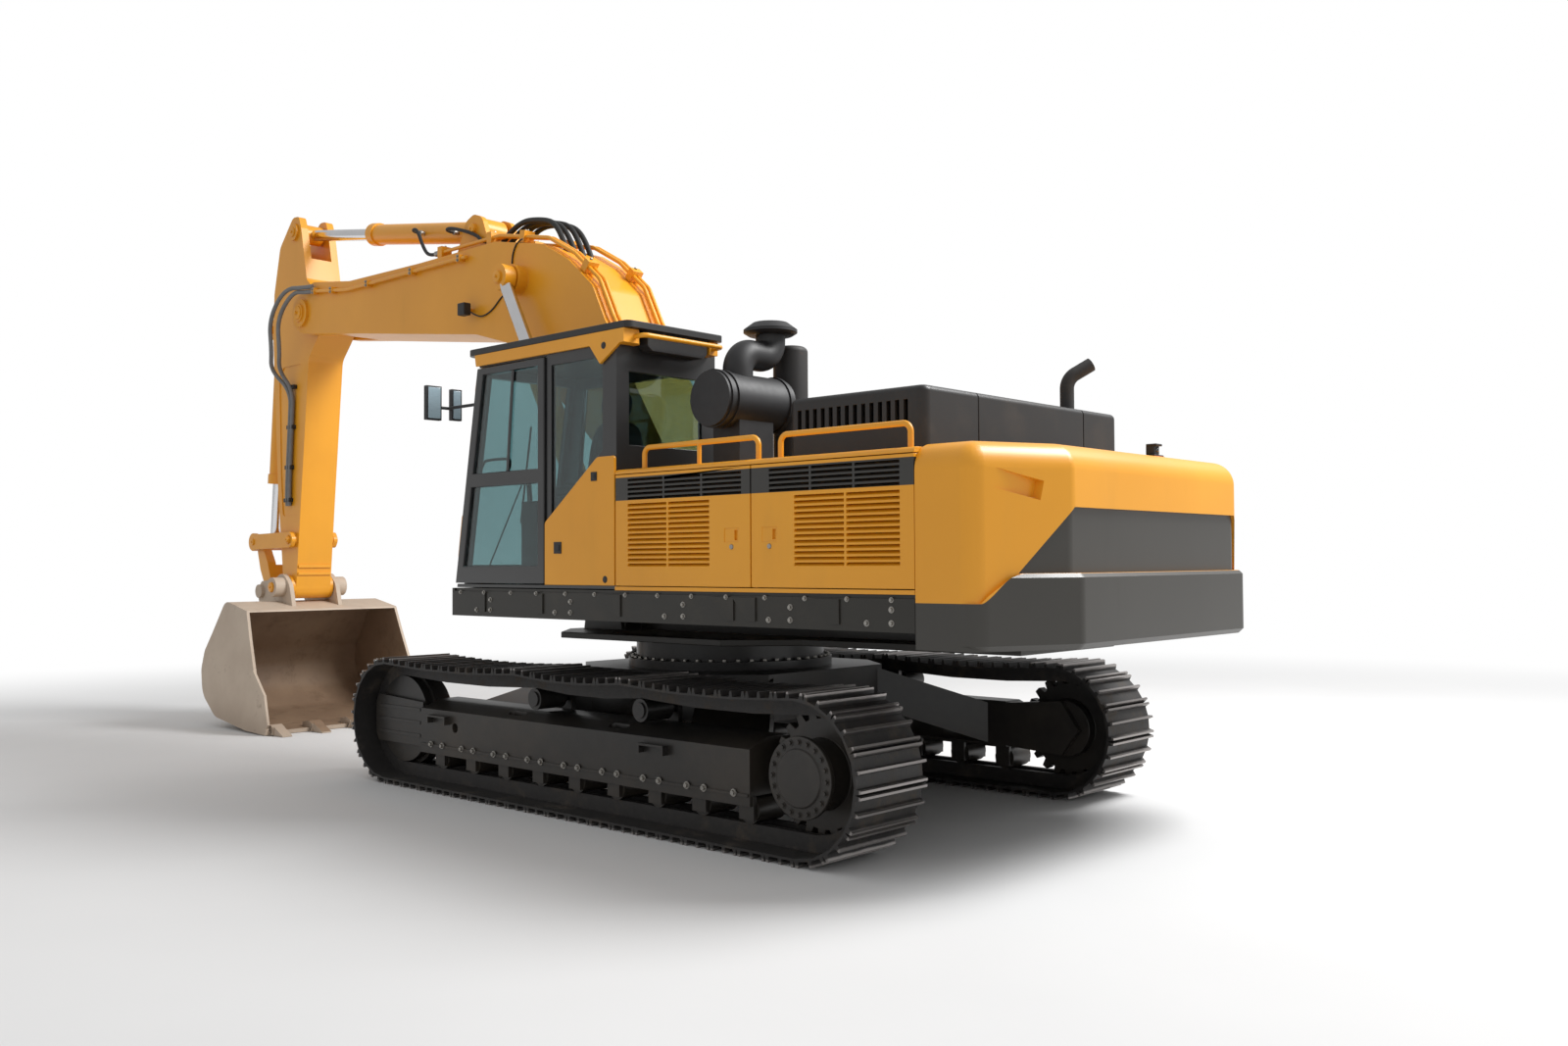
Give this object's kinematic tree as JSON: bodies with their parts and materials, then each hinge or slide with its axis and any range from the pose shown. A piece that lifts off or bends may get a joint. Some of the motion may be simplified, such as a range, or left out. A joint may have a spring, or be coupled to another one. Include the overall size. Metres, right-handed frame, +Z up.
{
  "type": "crawler excavator",
  "caption": "Large crawler excavator with backhoe bucket, cab on the left, slewing upper structure, counterweight and two steel tracks.",
  "frame": {"origin": "on the ground under the middle of the machine's bounding box, midway between the tracks", "axes": "+X forward towards the bucket, +Y to the cab side (left), +Z up"},
  "size_m": [11.04, 3.3715, 5.5367],
  "materials": {
    "track_steel": "dark worn steel",
    "black_paint": "black chassis paint",
    "yellow_paint": "amber yellow gloss paint",
    "grey_paint": "dark grey paint",
    "primer": "bare beige primer",
    "chrome": "polished chrome",
    "black_plastic": "black plastic",
    "glass": "tinted glass",
    "fabric": "dark seat cloth"
  },
  "bodies": {
    "undercarriage": {"car_body": "black_paint", "car_body_legs": "black_paint", "swing_bearing": "black_paint", "track_frame_left": "black_paint", "track_frame_right": "black_paint", "track_left": "track_steel", "track_right": "track_steel", "bottom_rollers": "black_paint", "carrier_rollers": "black_paint", "idlers": "black_paint", "final_drives": "black_paint"},
    "upper": {"revolving_frame": "black_paint", "deck_left": "black_paint", "deck_right": "black_paint", "counterweight": "grey_paint", "lifting_inserts": "black_paint", "left_housing": "yellow_paint", "right_housing": "yellow_paint", "centre_cover": "grey_paint", "hood": "grey_paint", "engine": "black_paint", "radiator_pack": "black_paint", "air_cleaner": "black_plastic", "muffler": "black_paint", "exhaust": "black_paint", "handrails": "yellow_paint", "right_tanks": "yellow_paint", "tool_box": "grey_paint", "cab_shell": "grey_paint", "cab_glass": "glass", "cab_panel": "yellow_paint", "roof_guard": "grey_paint", "roof_valance": "yellow_paint", "seat": "fabric", "console": "black_plastic", "mirrors": "black_plastic"},
    "cab_door": {"cab_door": "grey_paint", "cab_door_glass": "glass"},
    "left_door_front": {"left_door_front": "yellow_paint"},
    "left_door_rear": {"left_door_rear": "yellow_paint"},
    "right_door": {"right_door": "yellow_paint"},
    "hood_lid": {"hood_lid": "grey_paint"},
    "boom": {"boom": "yellow_paint", "boom_pipes": "yellow_paint"},
    "boom_barrel_left": {"boom_cylinder_barrel_left": "yellow_paint"},
    "boom_barrel_right": {"boom_cylinder_barrel_right": "yellow_paint"},
    "boom_rod_left": {"boom_cylinder_rod_left": "chrome"},
    "boom_rod_right": {"boom_cylinder_rod_right": "chrome"},
    "stick": {"stick": "yellow_paint"},
    "stick_barrel": {"stick_cylinder_barrel": "yellow_paint"},
    "stick_rod": {"stick_cylinder_rod": "chrome"},
    "bucket_barrel": {"bucket_cylinder_barrel": "yellow_paint"},
    "bucket_rod": {"bucket_cylinder_rod": "chrome"},
    "rocker": {"rocker": "yellow_paint"},
    "bucket_link": {"bucket_link": "yellow_paint"},
    "bucket": {"bucket": "primer"}
  },
  "joints": [
    {"name": "swing", "type": "hinge", "parent": "undercarriage", "child": "upper", "pos_m": [-1.91, 0, 1.15], "axis": [0, 0, 1], "continuous": true},
    {"name": "boom", "type": "hinge", "parent": "upper", "child": "boom", "pos_m": [-1.71, 0, 1.95], "axis": [0, -1, 0], "range_deg": [-50, 32]},
    {"name": "stick", "type": "hinge", "parent": "boom", "child": "stick", "pos_m": [4.2, 0, 4.4], "axis": [0, 1, 0], "range_deg": [-65, 38]},
    {"name": "bucket", "type": "hinge", "parent": "stick", "child": "bucket", "pos_m": [4.67, 0, 1.47], "axis": [0, 1, 0], "range_deg": [-55, 85]},
    {"name": "cab_door", "type": "hinge", "parent": "upper", "child": "cab_door", "pos_m": [-1.665, 1.578, 1.57], "axis": [0, 0, -1], "range_deg": [-95, 0]},
    {"name": "left_door_front", "type": "hinge", "parent": "upper", "child": "left_door_front", "pos_m": [-2.426, 1.582, 1.57], "axis": [0, 0, -1], "range_deg": [0, 100]},
    {"name": "left_door_rear", "type": "hinge", "parent": "upper", "child": "left_door_rear", "pos_m": [-4.847, 1.582, 1.57], "axis": [0, 0, 1], "range_deg": [0, 100]},
    {"name": "right_door", "type": "hinge", "parent": "upper", "child": "right_door", "pos_m": [-4.847, -1.582, 1.57], "axis": [0, 0, -1], "range_deg": [0, 100]},
    {"name": "hood_lid", "type": "hinge", "parent": "upper", "child": "hood_lid", "pos_m": [-3.61, 0, 2.72], "axis": [0, 1, 0], "range_deg": [0, 60]},
    {"name": "boom_barrel_left", "type": "hinge", "parent": "upper", "child": "boom_barrel_left", "pos_m": [-1.11, 0.5, 1.62], "axis": [0, -1, 0], "range_deg": [-52.2, 33.48]},
    {"name": "boom_rod_left", "type": "slide", "parent": "boom_barrel_left", "child": "boom_rod_left", "axis": [0.4917, 0, 0.8708], "range_m": [-0.5615, 0.3604]},
    {"name": "boom_barrel_right", "type": "hinge", "parent": "upper", "child": "boom_barrel_right", "pos_m": [-1.11, -0.5, 1.62], "axis": [0, -1, 0], "range_deg": [-52.2, 33.48]},
    {"name": "boom_rod_right", "type": "slide", "parent": "boom_barrel_right", "child": "boom_rod_right", "axis": [0.4917, 0, 0.8708], "range_m": [-0.5615, 0.3604]},
    {"name": "stick_barrel", "type": "hinge", "parent": "boom", "child": "stick_barrel", "pos_m": [1.23, 0, 4.81], "axis": [0, 1, 0], "range_deg": [-7.35, 4.38]},
    {"name": "stick_rod", "type": "slide", "parent": "stick_barrel", "child": "stick_rod", "axis": [0.9866, 0, 0.163], "range_m": [-1.0467, 0.6132]},
    {"name": "rocker", "type": "hinge", "parent": "stick", "child": "rocker", "pos_m": [4.59, 0, 1.985], "axis": [0, 1, 0], "range_deg": [-29.9, 46.1]},
    {"name": "bucket_link", "type": "hinge", "parent": "rocker", "child": "bucket_link", "pos_m": [5.42, 0, 1.97], "axis": [0, 1, 0], "range_deg": [-30.8, 20]},
    {"name": "bucket_barrel", "type": "hinge", "parent": "stick", "child": "bucket_barrel", "pos_m": [5.21, 0, 4.37], "axis": [0, 1, 0], "range_deg": [-2.95, 4.45]},
    {"name": "bucket_rod", "type": "slide", "parent": "bucket_barrel", "child": "bucket_rod", "axis": [0.0872, 0, -0.9962], "range_m": [-0.3966, 0.6112]}
  ],
  "couplings": [
    {"joint": "boom_barrel_left", "follows": "boom", "ratio": 1.04},
    {"joint": "boom_rod_left", "follows": "boom", "m_per_rad": 0.64},
    {"joint": "boom_barrel_right", "follows": "boom", "ratio": 1.04},
    {"joint": "boom_rod_right", "follows": "boom", "m_per_rad": 0.64},
    {"joint": "stick_barrel", "follows": "stick", "ratio": 0.11},
    {"joint": "stick_rod", "follows": "stick", "m_per_rad": 0.92},
    {"joint": "rocker", "follows": "bucket", "ratio": 0.54},
    {"joint": "bucket_link", "follows": "bucket", "ratio": -0.36},
    {"joint": "bucket_barrel", "follows": "bucket", "ratio": 0.05},
    {"joint": "bucket_rod", "follows": "bucket", "m_per_rad": 0.41}
  ]
}
